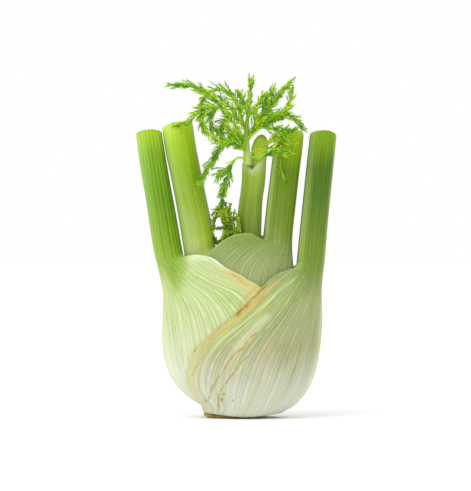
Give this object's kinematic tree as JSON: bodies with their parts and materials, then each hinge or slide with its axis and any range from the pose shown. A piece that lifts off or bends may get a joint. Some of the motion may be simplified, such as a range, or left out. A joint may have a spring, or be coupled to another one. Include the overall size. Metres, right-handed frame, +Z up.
{
  "type": "fennel bulb",
  "caption": "Trimmed head of Florence fennel: a flattened bulb of crossed leaf sheaths, cut stalks and feathery fronds, standing on its root plate.",
  "frame": {"origin": "on the cut underside of the root plate, below the bulb's axis", "axes": "+Z up along the stalks, +X to the side of the outermost leaf's stalk, -Y out of the face where the sheaths cross"},
  "size_m": [0.1264, 0.0645, 0.2166],
  "materials": {
    "leaf_skin": "moist, finely ribbed skin, pale at the base and green on the stalks",
    "root_cut": "dry brown skin round a pale fibrous cut",
    "frond_green": "soft thread leaflets, bright green",
    "young_green": "curled young leaflets, yellow green"
  },
  "bodies": {
    "root": {"root_plate": "root_cut", "leaf_right_outer": "leaf_skin", "leaf_left_outer": "leaf_skin", "leaf_right_inner": "leaf_skin", "leaf_left_inner": "leaf_skin", "leaf_centre": "leaf_skin", "frond_spreading": "frond_green", "frond_young": "young_green"}
  },
  "joints": []
}
